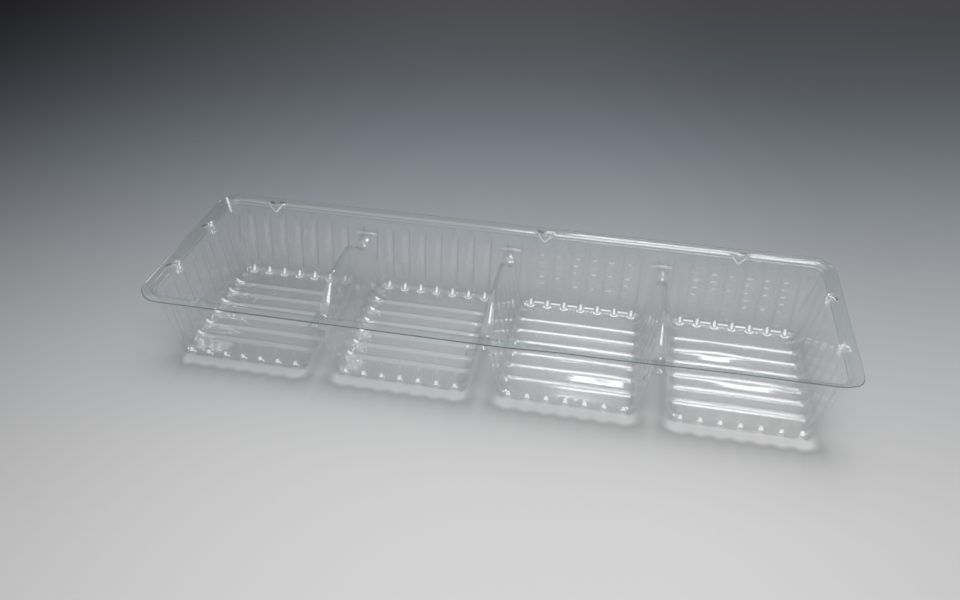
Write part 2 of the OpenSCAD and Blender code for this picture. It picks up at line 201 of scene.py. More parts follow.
def below_lug(k, side, low, high):
    """Whether the stretch from low to high of one side of cell k runs below a stacking lug."""
    if side % 2 == 0:
        return abs(abs(low + high) / 2 - END_LUG) < 1
    lug = LUGS.get(k, FAR) * ALONG[side][0]
    return low < lug + LUG_HALF[0] and high > lug - LUG_HALF[0]


def side_stations(k, side):
    """Places along one side of a cell: eleven on each rib, the bays between in three steps and in seven
    below a stacking lug."""
    section = np.concatenate([-RIB_CUTS[:0:-1], RIB_CUTS])
    ribs = rib_places(side)
    end = HALF[(side + 1) % 4] - CORNER_R
    edges = np.concatenate([[-end], np.sort(np.concatenate([ribs - RIB_HALF, ribs + RIB_HALF])), [end]])
    places = [m + section for m in ribs]
    for low, high in edges.reshape(-1, 2):
        if high - low >= 0.5:
            steps = LUG_STEPS if below_lug(k, side, low, high) else BAY_STEPS
            places.append(np.linspace(low, high, steps + 1)[1:-1])
    places = np.sort(np.concatenate(places))
    return places[np.abs(places) < end - 0.04]


def stations(k):
    """The loop of stations round cell k, as arrays: side, place, bend (nan on a straight side), rib
    height share, and 1 where a rib also crosses the floor."""
    side, place, bend, rib, cross = [], [], [], [], []
    for i in range(4):
        s = side_stations(k, i)
        near = s[:, None] - rib_places(i)[None, :]
        which = np.abs(rib_places(i)[np.abs(near).argmin(1)])
        b = np.linspace(0, np.pi / 2, CORNER_STEPS + 1)
        side.append(np.full(len(s) + len(b), i))
        place.append(np.concatenate([s, 0 * b]))
        bend.append(np.concatenate([s * np.nan, b]))
        rib.append(np.concatenate([rib_shape(near).max(1), 0 * b]))
        cross.append(np.concatenate([(i % 2 == 0) * (which < CROSS_REACH) * 1.0, 0 * b]))
    names = ("side", "place", "bend", "rib", "cross")
    return {name: np.concatenate(part) for name, part in zip(names, (side, place, bend, rib, cross))}


def loop_xy(k, st, g0, g1, r, inward):
    """Plan position of each station whose two sides have moved out by g0 and g1: straight sides run at
    span + g0 - inward, corners are arcs of radius r. The cell k may differ from station to station."""
    side = st["side"]
    after = (side + 1) % 4
    b = np.nan_to_num(st["bend"])
    straight = OUT[side] * (HALF[side] + g0 - inward)[:, None] + ALONG[side] * st["place"][:, None]
    corner = (OUT[side] * (HALF[side] + g0 - r + r * np.cos(b))[:, None]
              + OUT[after] * (HALF[after] + g1 - r + r * np.sin(b))[:, None])
    xy = np.where(np.isnan(st["bend"])[:, None], straight, corner)
    xy[:, 0] += centre(k)
    return xy


def cell_rows(k, st):
    """Rows of points from the floor's edge up a cell's wall: the rounding at the foot, the ribbed wall,
    then either the joint with the band at the platform's height or the rounded edge of a divider."""
    side = st["side"]
    after = (side + 1) % 4
    bend = np.nan_to_num(st["bend"])
    bent = ~np.isnan(st["bend"])
    drafts = np.array([DIVIDER_DRAFT if beside_divider(k, s) else WALL_DRAFT for s in range(4)])
    divider = np.array([beside_divider(k, s) for s in range(4)])
    a, c = drafts[side], drafts[after]
    mix = bend / (np.pi / 2)
    shelf = divider[side] | (bent & divider[after])
    growth = np.where(shelf, DIVIDER_GROWTH, OUTER_GROWTH)
    outer_start = bent & divider[after] & (bend < 1e-6)
    outer_end = bent & divider[side] & (bend > np.pi / 2 - 1e-6)
    joined = ~shelf | outer_start | outer_end
    run0, run1 = FOOT_R * np.tan(np.pi / 4 - a / 2), FOOT_R * np.tan(np.pi / 4 - c / 2)
    rows = []
    for t in np.linspace(0, 1, FOOT_STEPS + 1):
        a0, a1 = t * (np.pi / 2 - a), t * (np.pi / 2 - c)
        g0, g1 = FOOT_R * np.sin(a0) - run0, FOOT_R * np.sin(a1) - run1
        z = FOOT_R * (1 - np.cos(a0 * (1 - mix) + a1 * mix)) + FLOOR_RIB * st["rib"] * st["cross"]
        xy = loop_xy(k, st, g0, g1, CORNER_R + (g0 + g1) / 2, RIB_DEPTH * st["rib"])
        rows.append(np.column_stack([xy, z]))
    foot_z = rows[-1][:, 2]
    top = np.where(bent | ~divider[side], PLATFORM_Z, divider_z(st["place"]))
    stop = np.where(joined, LEDGE_Z, top) - RIB_STOP
    tangent = TOP_R * math.tan((np.pi / 2 - DIVIDER_DRAFT) / 2)
    start = top - tangent * math.cos(DIVIDER_DRAFT)
    for n, step in enumerate(WALL_STEPS):
        edge = 0.0
        if step <= 1:
            z = foot_z + (stop - foot_z) * step
        elif step <= 2:
            z = stop + (start - stop) * (step - 1)
        else:
            q = step - 2
            z = (1 - q) ** 2 * start + (1 - (1 - q) ** 2) * top
            edge = q * q * tangent
        z = np.where(joined, foot_z + (PLATFORM_Z - foot_z) * (n + 1) / len(WALL_STEPS), z)
        edge = np.where(joined, 0, edge)
        level = np.where(joined, z, np.minimum(z, top))
        g0, g1 = level * np.tan(a) + edge, level * np.tan(c) + edge
        inward = rib_depth(side, z, stop) * st["rib"]
        rows.append(np.column_stack([loop_xy(k, st, g0, g1, CORNER_R + level * growth + edge, inward), z]))
    return np.array(rows)


def floor_z(k, x, y):
    """Height of the floor's face between its ribs: a shallow rise in the middle and local warps, each a
    Gaussian of the distance from its own middle."""
    u, v = (x - centre(k)) / RISE_X, y / RISE_Y
    rise = FLOOR_RISE * np.clip(1 - u**2, 0, 1) * np.clip(1 - v**2, 0, 1)
    edge = smooth((1 - np.abs(u)) / 0.25) * smooth((1 - np.abs(v)) / 0.2)
    for x0, y0, high, wide, deep in DOMES:
        rise = rise + edge * high * np.exp(-(((x - x0) / wide) ** 2 + ((y - y0) / deep) ** 2) / 2)
    return rise


def floor_end(k, loop):
    """One plain end of a floor: a Delaunay triangulation inside a closed loop of points, with three
    staggered rows of points in it. The loop's own points keep their places."""
    sign = 1 if loop[:, 1].mean() > 0 else -1
    x, y = np.meshgrid(END_X + centre(k), END_Y * sign)
    x = x + np.array([0, END_SHIFT, 0])[:, None]
    inside = np.column_stack([x.ravel(), y.ravel()])
    m = len(loop)
    pts = [Vector(q[:2]) for q in loop] + [Vector(q) for q in inside]
    out = delaunay_2d_cdt(pts, [(i, (i + 1) % m) for i in range(m)], [], 1, 1e-6)
    xy = np.array([tuple(q) for q in out[0]])
    z = floor_z(k, xy[:, 0], xy[:, 1])
    for i, origin in enumerate(out[3]):
        if origin and min(origin) < m:
            xy[i], z[i] = loop[min(origin), :2], loop[min(origin), 2]
    return np.column_stack([xy, z]), np.array([list(f) for f in out[2]])


def cell_floor(k, st, edge):
    """Floor of a cell inside its edge: rungs from side 0 to side 2 carry the ribs, and the two plain ends
    are filled in."""
    side, place, straight = st["side"], st["place"], np.isnan(st["bend"])
    ribbed = straight & (np.abs(place) < RUNG_REACH)
    right = np.where((side == 0) & ribbed)[0]
    left = np.where((side == 2) & ribbed)[0][::-1]
    p = edge[right][:, None, :] * (1 - RUNGS)[None, :, None] + edge[left][:, None, :] * RUNGS[None, :, None]
    p[:, 1:-1, 2] += floor_z(k, p[:, 1:-1, 0], p[:, 1:-1, 1])
    patches = [grid_patch(p)]
    n = len(edge)
    for rung, first, last in ((p[-1], right[-1], left[-1]), (p[0][::-1], left[0], right[0])):
        chain = edge[np.arange(first, last + 1 if last > first else last + n + 1) % n]
        patches.append(floor_end(k, np.concatenate([chain, rung[::-1][1:-1]])))
    return patches


def grid_patch(p, closed=False):
    """Triangles over a grid of points p[i, j]. With closed the last j joins the first."""
    rows, cols = p.shape[:2]
    i = np.arange(rows - 1)[:, None]
    j = np.arange(cols if closed else cols - 1)[None, :]
    a, b = i * cols + j, i * cols + (j + 1) % cols
    c, d = a + cols, b + cols
    return p.reshape(-1, 3), np.stack([a, d, b, a, c, d], -1).reshape(-1, 3)


def divider_edge(tops, k, side):
    """The points of cell k's top row from the corner before that side to the corner after it."""
    st, row = tops[k]
    bent = ~np.isnan(st["bend"])
    first = np.where((st["side"] == (side - 1) % 4) & bent)[0]
    middle = np.where((st["side"] == side) & ~bent)[0]
    last = np.where((st["side"] == side) & bent)[0]
    return row[np.concatenate([first, middle, last])]


def roof(k, tops):
    """Top of the divider between cells k and k + 1, with a slight crown and a fillet at each wall."""
    a, b = divider_edge(tops, k, 0), divider_edge(tops, k + 1, 2)[::-1]
    u = ACROSS
    p = a[:, None, :] * (1 - u)[None, :, None] + b[:, None, :] * u[None, :, None]
    width = np.linalg.norm(a - b, axis=1)
    away = np.abs(a[0, 1]) - np.abs(p[:, :, 1])
    p[:, :, 2] += CROWN * width[:, None] * (1 - (2 * u - 1)[None, :] ** 2) * smooth(away / 3)
    p[:, :, 2] += shelf_rise(away, u[None, :] * width[:, None], width[:, None])
    return grid_patch(p)


def shelf_rise(away, along, width):
    """Rise of a platform's fillet at a distance from the wall: a quarter circle, faded out at its ends."""
    inside = np.clip(SHELF_R - away, 0, SHELF_R)
    rise = SHELF_R - np.sqrt(np.maximum(SHELF_R**2 - inside**2, 0))
    return rise * smooth(np.minimum(along, width - along) / 1.1)


def lug_shape(t):
    """Outline of a lug against its half width: a rounded peak, 1 in the middle and 0 past the end."""
    t = np.abs(t)
    peak = np.clip(LUG_END - np.sqrt(t * t + LUG_ROUND**2), 0, None)
    return peak * smooth((LUG_END - t) / LUG_ROUND) / (LUG_END - LUG_ROUND)


def band_stations():
    """The loop of stations round the whole tray at the platform's height, as arrays: cell, side, place,
    bend (nan on a straight side), rib height share, and the lift of a platform's fillet at a divider."""
    items = []
    last = CELLS - 1
    order = [(last, 0)] + [(k, 1) for k in range(last, -1, -1)] + [(0, 2)] + [(k, 3) for k in range(CELLS)]
    end = HALF[0] + PLATFORM_Z * DIVIDER_LEAN - (CORNER_R + PLATFORM_Z * DIVIDER_GROWTH)
    width = PITCH - 2 * end
    for k, side in order:
        st = stations(k)
        here = (st["side"] == side) & np.isnan(st["bend"])
        items += [(k, side, s, np.nan, h, 0.0) for s, h in zip(st["place"][here], st["rib"][here])]
        if (k, side) in ((last, 0), (0, 1), (0, 2), (last, 3)):
            items += [(k, side, 0.0, b, 0.0, 0.0) for b in np.linspace(0, np.pi / 2, CORNER_STEPS + 1)]
        else:
            lifts = [float(shelf_rise(0.0, u * width, width)) for u in ACROSS]
            items += [(k, side, end + width * u, np.nan, 0.0, lift) for u, lift in zip(ACROSS, lifts)]
    k, side, s, b, h, lift = [np.array(c) for c in zip(*items)]
    return k.astype(int), dict(side=side.astype(int), place=s, bend=b), h, lift


def fillet(pts, i, r, count):
    """Rounding of corner i of the profile: a quadratic curve between two points on its legs, as far from
    the corner as a circle of radius r would touch them but short of the legs' middles."""
    here, u, v = pts[i], pts[i - 1] - pts[i], pts[i + 1] - pts[i]
    lu, lv = np.linalg.norm(u[:, :2], axis=1), np.linalg.norm(v[:, :2], axis=1)
    cos = np.clip((u[:, :2] * v[:, :2]).sum(1) / (lu * lv), -1, 1)
    length = np.minimum(r / np.tan(np.arccos(cos) / 2), 0.46 * np.minimum(lu, lv))
    a, c = here + u * (length / lu)[:, None], here + v * (length / lv)[:, None]
    return [(1 - q) ** 2 * a + 2 * q * (1 - q) * here + q * q * c for q in np.linspace(0, 1, count)]


def chamfer(pts, i):
    """Profile across the flange's inner edge, which is corner i: a slope of about 40 degrees between two
    small rounds."""
    here, down, out = pts[i], pts[i - 1] - pts[i], pts[i + 1] - pts[i]
    down = down / np.linalg.norm(down[:, :2], axis=1)[:, None]
    out = out / np.linalg.norm(out[:, :2], axis=1)[:, None]
    return [here + out * a + down * b for a, b in FLANGE_CUT]


def band_rows():
    """The band round the whole tray: the upper part of the outer walls with the run-out of the ribs,
    the ledge, the step and the flange, with the stacking lugs pressed into it. A profile's point holds
    how far out it stands, its height and the radius of the tray's corner there."""
    k, st, rib, lift = band_stations()
    side, place = st["side"], st["place"]
    lug = np.array([LUGS.get(cell, FAR) for cell in range(CELLS)])[k]
    reach = np.where(side % 2 == 0, np.abs(np.abs(place) - END_LUG), np.abs(place * ALONG[side, 0] - lug))
    reach = np.where(np.isnan(st["bend"]), reach, FAR)
    at_flange, at_ledge, at_wall = [lug_shape(reach / half) * push for half, push in zip(LUG_HALF, LUG_PUSH)]
    zero = np.zeros(len(side))
    wall_z = LEDGE_Z - at_wall
    ledge = LEDGE_Z * WALL_LEAN + LEDGE_WIDTH
    step = ledge + STEP_RUN
    pts = [(PLATFORM_Z * WALL_LEAN, PLATFORM_Z + lift, CORNER_R + PLATFORM_Z * OUTER_GROWTH),
           (wall_z * WALL_LEAN, wall_z, LEDGE_R + 0.1),
           (ledge - at_ledge, LEDGE_Z, LEDGE_R),
           (step - at_flange, DEPTH - LIP, LEDGE_R),
           (step + FLANGE_WIDTH, DEPTH - LIP, FLANGE_R)]
    pts = [np.stack([zero + value for value in point], 1) for point in pts]
    wall_top = fillet(pts, 1, WALL_TOP_R, 3)
    low, high = pts[0], wall_top[0]
    profile, depths = [], []
    for f in BAND_STEPS:
        p = low + (high - low) * f
        profile.append(p)
        depths.append(rib_depth(side, p[:, 1], LEDGE_Z - RIB_STOP) * (1 - smooth((f - 0.58) / 0.4)))
    profile += wall_top + fillet(pts, 2, LEDGE_EDGE_R, 4) + chamfer(pts, 3)
    inner, rim = profile[-1], pts[4]
    for gap, rise in RIM_STEPS:
        p = inner + (rim - inner) * (1 - gap * LIP_RUN / (rim - inner)[:, 0])[:, None]
        p[:, 1] += LIP * rise
        profile.append(p)
    depths += [zero] * (len(profile) - len(depths))
    return np.array([np.column_stack([loop_xy(k, st, p[:, 0], p[:, 0], p[:, 2], depth * rib), p[:, 1]])
                     for p, depth in zip(profile, depths)])


def welded(patches):
    """One mesh from all patches: each is turned to face up, points that fall on the same spot of a fine
    grid become one, and faces that have lost a side go. The grid's offset keeps round sizes off its lines."""
    points, faces, start = [], [], 0
    for v, f in patches:
        e1, e2 = v[f[:, 1], :2] - v[f[:, 0], :2], v[f[:, 2], :2] - v[f[:, 0], :2]
        if (e1[:, 0] * e2[:, 1] - e1[:, 1] * e2[:, 0]).sum() < 0:
            f = f[:, ::-1]
        points.append(v)
        faces.append(f + start)
        start += len(v)
    points, faces = np.concatenate(points), np.concatenate(faces)
    key = np.round(points * WELD + WELD_OFFSET).astype(np.int64)
    _, first, inverse = np.unique(key, axis=0, return_index=True, return_inverse=True)
    a, b, c = inverse.reshape(-1)[faces].T
    keep = (a != b) & (b != c) & (c != a)
    return points[first], np.stack([a, b, c], 1)[keep]


def upper_skin():
    """The whole upper skin: floors and walls of the cells, the dividers' tops and the band."""
    patches, tops = [], {}
    for k in range(CELLS):
        st = stations(k)
        rows = cell_rows(k, st)
        patches += cell_floor(k, st, rows[0])
        patches.append(grid_patch(rows, closed=True))
        tops[k] = (st, rows[-1])
    patches += [roof(k, tops) for k in range(CELLS - 1)]
    patches.append(grid_patch(band_rows(), closed=True))
    return welded(patches)


def vertex_normals(points, faces):
    """Unit normal at each point: the mean of its faces' normals, weighted by the corners' angles."""
    normals = np.zeros_like(points)
    p = points[faces]
    n = np.cross(p[:, 1] - p[:, 0], p[:, 2] - p[:, 0])
    n /= np.maximum(np.linalg.norm(n, axis=1), 1e-12)[:, None]
    for i in range(3):
        a, b = p[:, (i + 1) % 3] - p[:, i], p[:, (i + 2) % 3] - p[:, i]
        cos = (a * b).sum(1) / np.maximum(np.linalg.norm(a, axis=1) * np.linalg.norm(b, axis=1), 1e-12)
        np.add.at(normals, faces[:, i], n * np.arccos(np.clip(cos, -1, 1))[:, None])
    return normals / np.maximum(np.linalg.norm(normals, axis=1), 1e-12)[:, None]


def open_edges(faces):
    """Directed edges that no other face runs along the other way."""
    e = np.concatenate([faces[:, [0, 1]], faces[:, [1, 2]], faces[:, [2, 0]]])
    size = faces.max() + 1
    forward, back = e[:, 0] * size + e[:, 1], e[:, 1] * size + e[:, 0]
    return e[~np.isin(forward, back)]


def warp(p):
    """The set of the formed sheet: the front flange hangs down over its left half and is drawn in towards
    its right end, both by smoothsteps along X that begin over the front wall's top."""
    q = p.copy()
    x, y, z = p.T
    share = smooth((-y - 35.8) / 4.0) * (z > 29)
    q[:, 2] -= HANG * share * smooth((32 - x) / 26)
    q[:, 1] += DRAWN_IN * share * smooth((x - 38) / 55)
    return q


def tray_mesh():
    """The closed sheet, standing on the ground: points, faces, the edges of its cut rim and, for each
    face, 0 on the upper skin, 1 on the lower one and 2 on the cut edge. The lower skin is the upper one
    moved by the sheet's thickness against its normals."""
    upper, faces = upper_skin()
    under = upper - vertex_normals(upper, faces) * SHEET
    rim = open_edges(faces)
    n = len(upper)
    start, end = rim.T
    cut = np.concatenate([np.stack([end, start, start + n], 1), np.stack([end, start + n, end + n], 1)])
    points = warp(np.concatenate([upper, under]))
    points[:, 2] += SHEET
    kind = np.repeat([0, 1, 2], [len(faces), len(faces), len(cut)])
    return points, np.concatenate([faces, faces[:, ::-1] + n, cut]), np.concatenate([rim, rim + n]), kind


def mesh_object(name, points, faces, sharp=None):
    """A smooth-shaded mesh from points in millimetres, with the edges in sharp kept sharp."""
    mesh = bpy.data.meshes.new(name)
    mesh.vertices.add(len(points))
    mesh.vertices.foreach_set("co", (points / 1000).astype(np.float32).ravel())
    mesh.loops.add(3 * len(faces))
    mesh.loops.foreach_set("vertex_index", faces.astype(np.int32).ravel())
    mesh.polygons.add(len(faces))
    mesh.polygons.foreach_set("loop_start", np.arange(0, 3 * len(faces), 3, dtype=np.int32))
    mesh.update(calc_edges=True)
    mesh.polygons.foreach_set("use_smooth", np.ones(len(faces), bool))
    if sharp is not None:
        ends = np.zeros(2 * len(mesh.edges), np.int64)
        mesh.edges.foreach_get("vertices", ends)
        ends = np.sort(ends.reshape(-1, 2), axis=1) @ (len(points), 1)
        marked = np.sort(sharp, axis=1) @ (len(points), 1)
        mesh.attributes.new("sharp_edge", "BOOLEAN", "EDGE").data.foreach_set("value", np.isin(ends, marked))
    obj = bpy.data.objects.new(name, mesh)
    bpy.context.scene.collection.objects.link(obj)
    return obj


def linear(code):
    """Linear colour of an sRGB hex code."""
    c = np.array([int(code[i:i + 2], 16) for i in (0, 2, 4)]) / 255
    c = np.where(c <= 0.04045, c / 12.92, ((c + 0.055) / 1.055) ** 2.4)
    return (*c, 1.0)


def add_node(tree, kind, settings=None, inputs=None):
    """A node of that kind, its settings and unlinked inputs set, and its other inputs linked."""
    node = tree.nodes.new(kind)
    for key, value in (settings or {}).items():
        setattr(node, key, value)
    for key, value in (inputs or {}).items():
        if isinstance(value, bpy.types.NodeSocket):
            tree.links.new(value, node.inputs[key])
        else:
            node.inputs[key].default_value = value
    return node


def new_material(name):
    """A material without nodes, and its node tree."""
    material = bpy.data.materials.new(name)
    material.use_nodes = True
    material.node_tree.nodes.clear()
    return material, material.node_tree


def calc(tree, operation, *values):
    """One step of arithmetic on sockets or numbers."""
    return add_node(tree, "ShaderNodeMath", {"operation": operation}, dict(enumerate(values))).outputs[0]


def product(tree, *values):
    """All values multiplied."""
    total = values[0]
    for value in values[1:]:
        total = calc(tree, "MULTIPLY", total, value)
    return total


def largest(tree, *values):
    """The largest of the values."""
    total = values[0]
    for value in values[1:]:
        total = calc(tree, "MAXIMUM", total, value)
    return total


def between(tree, value, low, high, start, end, kind="SMOOTHSTEP"):
    """The value taken from the range low to high over to the range start to end."""
    return add_node(tree, "ShaderNodeMapRange", {"interpolation_type": kind},
                    {0: value, 1: low, 2: high, 3: start, 4: end}).outputs[0]


def rises(tree, value, low, high):
    """0 below low and 1 above high, with a smoothstep between."""
    return between(tree, value, low, high, 0.0, 1.0)


def falls(tree, value, low, high):
    """1 below low and 0 above high, with a smoothstep between."""
    return between(tree, value, low, high, 1.0, 0.0)


def bell(tree, value, middle, half):
    """A bell curve of the value round its middle: exp of minus the square of the distance over half."""
    away = calc(tree, "MULTIPLY", calc(tree, "SUBTRACT", value, middle), 1 / half)
    return calc(tree, "EXPONENT", calc(tree, "MULTIPLY", product(tree, away, away), -1.0))


def length(tree, a, b):
    """The root of a squared plus b squared."""
    return calc(tree, "SQRT", calc(tree, "ADD", product(tree, a, a), product(tree, b, b)))


def scaled(tree, vector, factor):
    """A vector or colour times a number."""
    return add_node(tree, "ShaderNodeVectorMath", {"operation": "SCALE"}, {0: vector, "Scale": factor}).outputs[0]


def axes(tree, vector):
    """The vector's x, y and z."""
    split = add_node(tree, "ShaderNodeSeparateXYZ", inputs={0: vector})
    return [split.outputs[axis] for axis in "XYZ"]


def colour_ramp(tree, share, stops, kind="LINEAR"):
    """The colour over a share of the way through the stops, each a place and a linear colour."""
    ramp = add_node(tree, "ShaderNodeValToRGB", inputs={"Fac": share})
    ramp.color_ramp.interpolation = kind
    elements = ramp.color_ramp.elements
    for place, _ in stops[1:-1]:
        elements.new(place)
    for element, (place, colour) in zip(elements, stops):
        element.position, element.color = place, colour
    return ramp.outputs["Color"]


def tray_places(tree, spot):
    """Where an Object coordinate lies on the tray, in millimetres: x, y, z; far and away, the distances
    from the tray's middle along X and Y; u, the distance from the nearest cell's middle along X; rib, how
    far right of the nearest rib of the long walls; cross, the distance along Y from the nearest rib of
    the floors and ends."""
    x, y, z = axes(tree, scaled(tree, spot, 1000.0))
    far, away = calc(tree, "ABSOLUTE", x), calc(tree, "ABSOLUTE", y)
    in_cell = calc(tree, "WRAP", calc(tree, "SUBTRACT", x, PITCH / 2), PITCH / 2, -PITCH / 2)
    outside = calc(tree, "SUBTRACT", far, centre(CELLS - 1))
    u = calc(tree, "MAXIMUM", calc(tree, "ABSOLUTE", in_cell), outside)
    rib = calc(tree, "WRAP", in_cell, LONG_PITCH / 2, -LONG_PITCH / 2)
    cross = calc(tree, "PINGPONG", calc(tree, "SUBTRACT", away, SIDE_PITCH / 2), SIDE_PITCH / 2)
    return SimpleNamespace(x=x, y=y, z=z, far=far, away=away, u=u, rib=rib, cross=cross)


def foot_highlights(tree, at):
    """Painted highlights at the feet of the long walls' ribs: a glint spot at each foot in front, a spot inside a
    half ring at each foot behind, and bars between the ribs at the back of the two right-hand cells."""
    in_cell = falls(tree, at.u, *HIGHLIGHT_REACH)
    low = falls(tree, at.z, *HIGHLIGHT_TOP)
    front = product(tree, in_cell, falls(tree, at.z, 2.4, 4.4), bell(tree, at.rib, 0.0, 0.75),
                    bell(tree, at.y, -30.0, 1.4))
    level = calc(tree, "SUBTRACT", at.y, 29.2)
    arcs = product(tree, in_cell, low, bell(tree, length(tree, at.rib, level), 1.4, 0.35),
                   falls(tree, level, -0.2, 0.8),
                   between(tree, at.x, -10.0, 10.0, HIGHLIGHTS["arc_left"], HIGHLIGHTS["arc_right"]))
    spots = product(tree, in_cell, low, bell(tree, at.rib, 0.0, 0.5), bell(tree, at.y, 30.0, 1.2), HIGHLIGHTS["spot"])
    bars = product(tree, in_cell, falls(tree, at.z, 0.6, 1.6), rises(tree, at.x, -4.0, 4.0),
                   rises(tree, calc(tree, "ABSOLUTE", at.rib), 1.1, 1.7), bell(tree, at.y, 30.8, 0.4),
                   HIGHLIGHTS["bar"])
    return largest(tree, front, arcs, spots, bars)


def back_highlights(tree, at, spot):
    """Painted reflections on the back wall: faint, uneven dashes up the bays of the right-hand cells, one every
    3.2 mm, standing in for the floor ribs mirrored there, and pale highlight bands up the ribs of the left-hand
    ones."""
    right = rises(tree, at.x, -4.0, 4.0)
    on_back = product(tree, falls(tree, at.u, *HIGHLIGHT_REACH), rises(tree, at.y, 31.5, 32.0),
                      rises(tree, at.z, 5.0, 9.0), falls(tree, at.z, 23.0, 27.0))
    grain = add_node(tree, "ShaderNodeTexNoise", inputs={"Vector": spot, "Scale": GRAIN, "Detail": 0.0})
    dashes = product(tree, right, on_back, bell(tree, calc(tree, "ABSOLUTE", at.rib), LONG_PITCH / 2, 1.4),
                     bell(tree, calc(tree, "PINGPONG", at.z, 1.6), 0.0, 0.5),
                     between(tree, grain.outputs[0], 0.38, 0.6, HIGHLIGHTS["dash_low"], HIGHLIGHTS["dash_high"]))
    bands = product(tree, calc(tree, "SUBTRACT", 1.0, right), on_back, bell(tree, at.rib, -0.2, 1.2),
                    HIGHLIGHTS["band"])
    return largest(tree, dashes, bands)


def floor_highlights(tree, at):
    """Painted highlights on the left ends of the floor ribs in the two left-hand cells: long in the first, dots
    in the second."""
    on_rib = product(tree, bell(tree, at.cross, 0.0, 0.7), falls(tree, at.away, CROSS_REACH, CROSS_REACH + 0.5),
                     falls(tree, at.z, *HIGHLIGHT_TOP))
    ends = product(tree, on_rib, falls(tree, at.x, -116.5, -112.0), rises(tree, at.x, -118.5, -117.5),
                   HIGHLIGHTS["rib_end"])
    return largest(tree, ends, product(tree, on_rib, bell(tree, at.x, -54.0, 1.0), HIGHLIGHTS["dot"]))


def flange_highlights(tree, at, spot):
    """Painted highlights at the mouth: glinting speckles on the end lugs, the two legs of a notch at each back
    lug, which spread by 0.86 mm per millimetre of height, and a highlight streak where a steep plane cuts the
    back left corner."""
    fine = add_node(tree, "ShaderNodeTexNoise", inputs={"Vector": spot, "Scale": SPECKLES, "Detail": 1.0})
    speckle = product(tree, bell(tree, at.far, 121.3, 1.6), bell(tree, at.away, END_LUG, 2.0),
                      rises(tree, fine.outputs[0], 0.5, 0.58), rises(tree, at.z, 26.0, 28.0), HIGHLIGHTS["speckle"])
    beside = [calc(tree, "ABSOLUTE", calc(tree, "SUBTRACT", at.x, centre(k) + lug)) for k, lug in LUGS.items()]
    beside = calc(tree, "MINIMUM", calc(tree, "MINIMUM", beside[0], beside[1]), beside[2])
    leg = calc(tree, "MULTIPLY_ADD", calc(tree, "SUBTRACT", at.z, 28.2), -0.86, beside)
    notch = product(tree, bell(tree, leg, 0.0, 0.4), rises(tree, at.z, 28.0, 28.4), falls(tree, at.z, 30.8, 31.6),
                    rises(tree, at.y, 30.0, 31.0), HIGHLIGHTS["notch"])
    plane = calc(tree, "MULTIPLY_ADD", at.x, 0.834, calc(tree, "MULTIPLY_ADD", at.y, 0.538, 80.8))
    plane = calc(tree, "MULTIPLY_ADD", at.z, 0.125, plane)
    crease = product(tree, bell(tree, plane, 0.0, 0.45), rises(tree, at.y, 25.5, 27.5),
                     falls(tree, at.y, 35.5, 37.5), falls(tree, at.x, -115.0, -112.0),
                     rises(tree, at.z, 27.0, 28.5), HIGHLIGHTS["crease"])
    return largest(tree, speckle, notch, crease)


def painted_highlights(tree, spot):
    """Share of painted highlights: white marks that stand in for the glints and reflections on the sheet."""
    at = tray_places(tree, spot)
    return largest(tree, foot_highlights(tree, at), back_highlights(tree, at, spot), floor_highlights(tree, at),
                   flange_highlights(tree, at, spot))


def painted_shade_share(tree, spot):
    """Share of the light that the sheet lets through, lowered by painted shade: in fine lines beside the ribs
    of the back wall and of the end walls, where the sheet stands steeply, and over the flange's two ends."""
    at = tray_places(tree, spot)
    # painted shade lines beside the ribs of the back wall and the end walls
    back = product(tree, bell(tree, at.rib, 1.5, 0.4), rises(tree, at.y, 31.2, 31.6),
                   between(tree, at.x, -10.0, 10.0, PAINTED_SHADE["back_left"], PAINTED_SHADE["back_right"]))
    end = product(tree, bell(tree, at.cross, 1.2, 0.4), between(tree, at.far, 117.5, 118.0, 0.0, PAINTED_SHADE["end"]))
    lines = product(tree, largest(tree, back, end), rises(tree, at.z, 3.0, 6.0), falls(tree, at.z, 25.0, 28.0))
    # painted shade over the flange's two ends, darker on the left
    flange_shade = product(tree, rises(tree, at.far, 120.5, 122.5), rises(tree, at.z, 29.0, 31.5),
                    between(tree, at.x, -110.0, 110.0, PAINTED_SHADE["flange_left"], PAINTED_SHADE["flange_right"]))
    return calc(tree, "SUBTRACT", calc(tree, "SUBTRACT", 1.0, lines), flange_shade)


